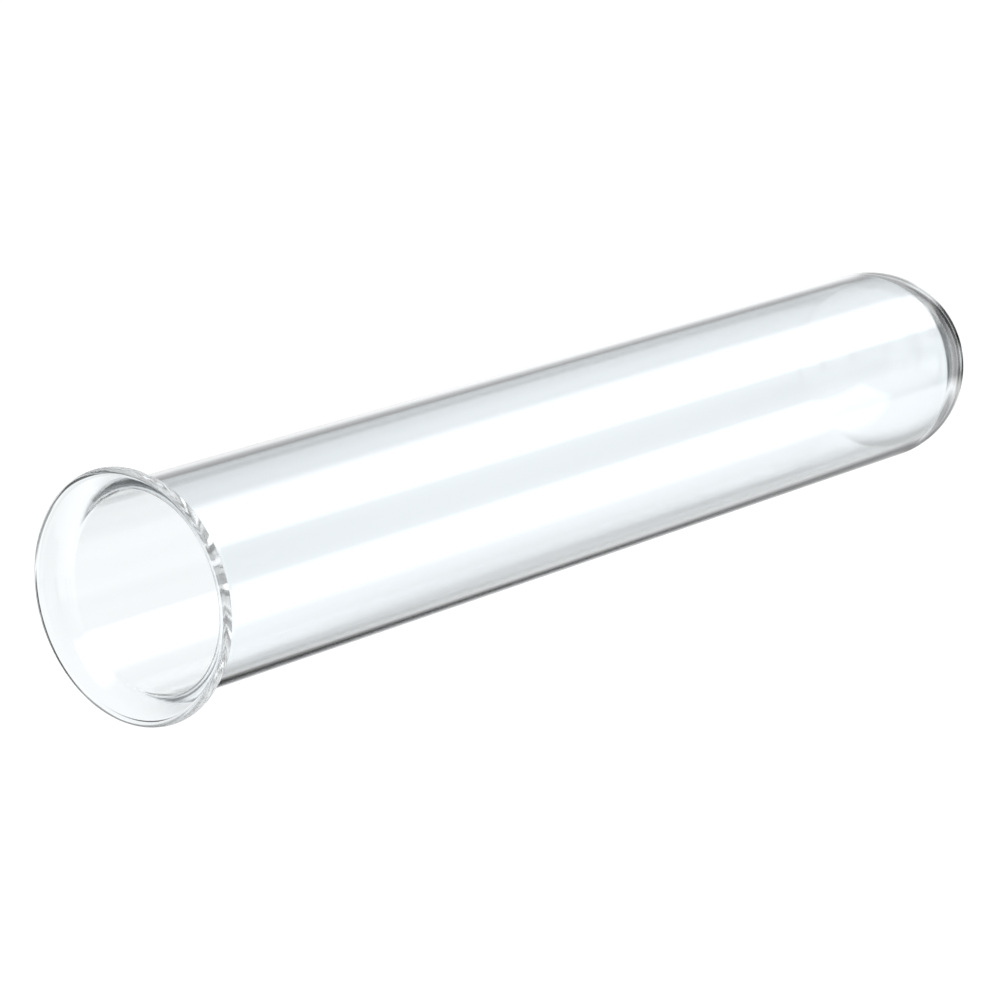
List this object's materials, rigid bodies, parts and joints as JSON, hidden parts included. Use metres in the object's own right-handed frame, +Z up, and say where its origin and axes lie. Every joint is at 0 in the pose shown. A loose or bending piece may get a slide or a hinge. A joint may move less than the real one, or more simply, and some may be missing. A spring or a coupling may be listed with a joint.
{
  "type": "test tube",
  "caption": "Clear glass test tube with a round bottom and a flared, fire-polished rim, for holding, heating and mixing small samples.",
  "frame": {"origin": "under the middle of the tube's length, on its mid plane, level with the lowest point of the rim, as the tube lies on its side", "axes": "+X along the tube's axis towards the round bottom, with the mouth open towards -X; +Z up"},
  "size_m": [0.15, 0.0281, 0.0281],
  "materials": {
    "clear_glass": "clear drawn borosilicate glass, smooth and glossy inside and out, rim fire-polished"
  },
  "bodies": {
    "root": {"glass_tube": "clear_glass"}
  },
  "joints": []
}
